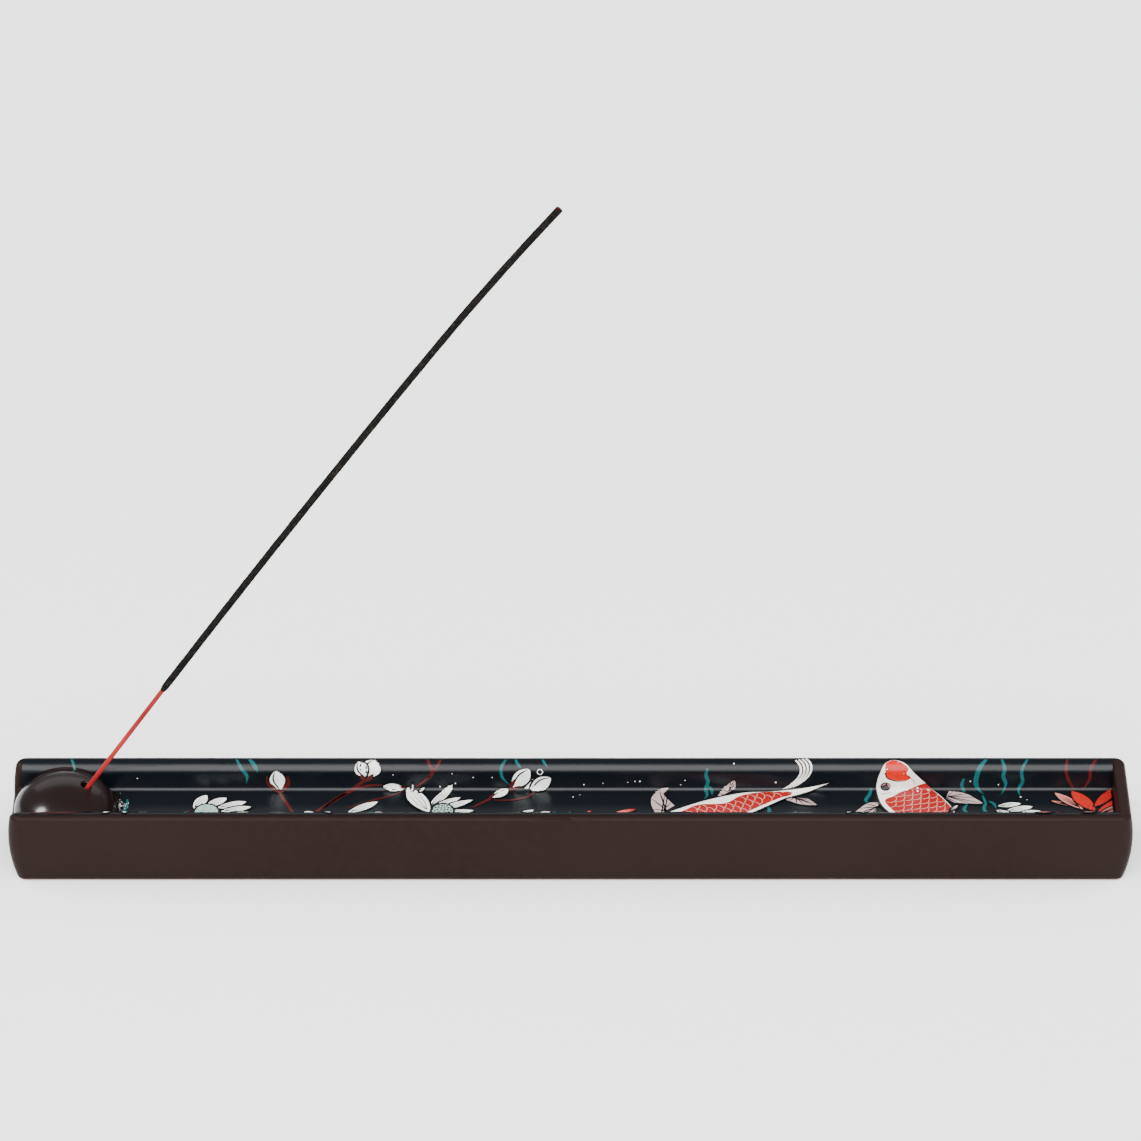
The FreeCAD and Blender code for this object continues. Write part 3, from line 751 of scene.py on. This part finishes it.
def rod(name, start, end, step, sides, radius_at, material, node):
    """A closed rod along the stick whose radius changes with place and side."""
    rows = max(2, int((end - start) / step))
    places = []
    for row in range(rows + 1):
        distance = start + (end - start) * row / rows
        centre, heading = along_stick(distance)
        down = Vector((math.sin(heading), 0, -math.cos(heading)))
        for side in range(sides):
            turn = 2 * math.pi * side / sides
            out = down * math.cos(turn) + Vector((0, 1, 0)) * math.sin(turn)
            places.append(centre + out * radius_at(distance, turn))
    faces = []
    for row in range(rows):
        for side in range(sides):
            after = (side + 1) % sides
            faces.append((row * sides + side, row * sides + after,
                          (row + 1) * sides + after, (row + 1) * sides + side))
    faces.append(tuple(reversed(range(sides))))
    faces.append(tuple(range(rows * sides, (rows + 1) * sides)))
    mesh = bpy.data.meshes.new(name)
    mesh.from_pydata(places, [], faces)
    mesh.validate()
    mesh.shade_smooth()
    mesh.materials.append(material)
    piece = bpy.data.objects.new(name, mesh)
    bpy.context.scene.collection.objects.link(piece)
    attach(piece, "stick")
    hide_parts(node)
    return piece


def split_bamboo(distance, turn):
    """Slightly flattened and ribbed along its length."""
    rib = 0.022 * math.sin(5 * turn) + 0.012 * math.sin(11 * turn + 30 * distance)
    drift = 0.02 * noise.noise(Vector((distance * 90, math.cos(turn), math.sin(turn))))
    return CORE_RADIUS * (0.955 + rib + drift)


def rolled_paste(distance, turn):
    """Feather edge at the bottom, then a grainy coat."""
    place = Vector((distance / MM, 1.3 * math.cos(turn), 1.3 * math.sin(turn)))
    slow = noise.noise(place * 0.32)
    grain = noise.noise(place * 1.9) + 0.6 * noise.noise(place * 4.1)
    full = PASTE_RADIUS * min(1.0, 0.945 + 0.03 * slow + 0.045 * grain)
    share = min(1.0, max(0.0, (distance - BARE) / TAPER))
    return CORE_RADIUS * 1.03 + (full - CORE_RADIUS * 1.03) * share ** 0.6


dyed_bamboo, tree, shader = node_tree("dyed_bamboo", 0.52, shine=0.1)
fibres = cloud(tree, 900.0, 4.0, (0.12, 1.0, 0.12))
tree.links.new(
    ramp(tree, fibres, ((0.3, (0.17, 0.006, 0.008)), (0.7, (0.27, 0.014, 0.016)))),
    shader.inputs["Base Color"])
waviness(tree, shader, ((fibres, 0.00006),))
incense, tree, shader = node_tree("incense_paste", 0.92, shine=0.03)
powder = ramp(tree, cloud(tree, 1500.0, 6.0), (
    (0.3, (0.0022, 0.0019, 0.0018)), (0.6, (0.0085, 0.0074, 0.0068))))
chips = ramp(tree, cloud(tree, 2600.0, 2.0), ((0.66, BLACK), (0.7, WHITE)))
tree.links.new(blend_colours(tree, chips, powder, (0.05, 0.042, 0.034)), shader.inputs["Base Color"])
waviness(tree, shader, ((cloud(tree, 3200.0, 4.0), 0.00012),))
rod("bamboo_splint", 0.0, stick_length, 1.5 * MM, 22, split_bamboo, dyed_bamboo,
    "stick_core")
rod("incense_coat", BARE, stick_length, 0.3 * MM, 18, rolled_paste, incense,
    "stick_paste")

# ------------------------------------------------------------------ studio
# Plain pale floor, wide soft lights in front, at both sides and behind, and an even glow.
# The side lights leave the gloss alone, and a small light from the left only sparks on it.
ELEVATION = math.radians(33)
DISTANCE = 1.6
AIM = Vector((0, 0, 0.0877))


def matt(name, colour):
    made, tree, shader = node_tree(name, 0.95, shine=0.1)
    shader.inputs["Base Color"].default_value = (*colour, 1.0)
    return made


bpy.ops.mesh.primitive_plane_add(size=14, location=(0, 0, 0))
studio_floor = bpy.context.object
studio_floor.name = "studio_floor"
studio_floor.data.materials.append(matt("pale_floor", (0.94, 0.94, 0.945)))


def soft_light(name, azimuth, elevation, distance, wide, high, power):
    """A rectangular light that faces the tray; azimuth 0 is in front of it."""
    light = bpy.data.lights.new(name, "AREA")
    light.shape = "RECTANGLE"
    light.size, light.size_y = wide, high
    light.energy = power
    holder = bpy.data.objects.new(name, light)
    turn, up = math.radians(azimuth), math.radians(elevation)
    holder.location = Vector((
        math.sin(turn) * math.cos(up), -math.cos(turn) * math.cos(up), math.sin(up))) * distance
    holder.rotation_euler = (AIM - holder.location).to_track_quat("-Z", "Y").to_euler()
    bpy.context.scene.collection.objects.link(holder)
    return holder


soft_light("front_light", -4, 43, 2.4, 3.2, 2.4, 185)
for side in (-95, 95):
    fill = soft_light("side_light", side, 36, 3.0, 3.6, 2.4, 135)
    fill.visible_glossy = False
soft_light("back_light", 180, 32, 3.0, 4.0, 1.2, 14)
spark = soft_light("spark_light", -85, 46, 1.8, 0.34, 0.46, 26)
spark.visible_diffuse = False
world = bpy.data.worlds.new("studio")
bpy.context.scene.world = world
world.use_nodes = True
world.node_tree.nodes["Background"].inputs["Color"].default_value = (1.0, 1.0, 1.0, 1.0)
world.node_tree.nodes["Background"].inputs["Strength"].default_value = 0.33

lens = bpy.data.cameras.new("camera")
lens.lens = 198.25
lens.sensor_width = 36
lens.clip_start = 0.05
camera = bpy.data.objects.new("camera", lens)
camera.location = AIM + Vector((0, -math.cos(ELEVATION), math.sin(ELEVATION))) * DISTANCE
camera.rotation_euler = (math.pi / 2 - ELEVATION, 0, 0)
bpy.context.scene.collection.objects.link(camera)
bpy.context.scene.camera = camera
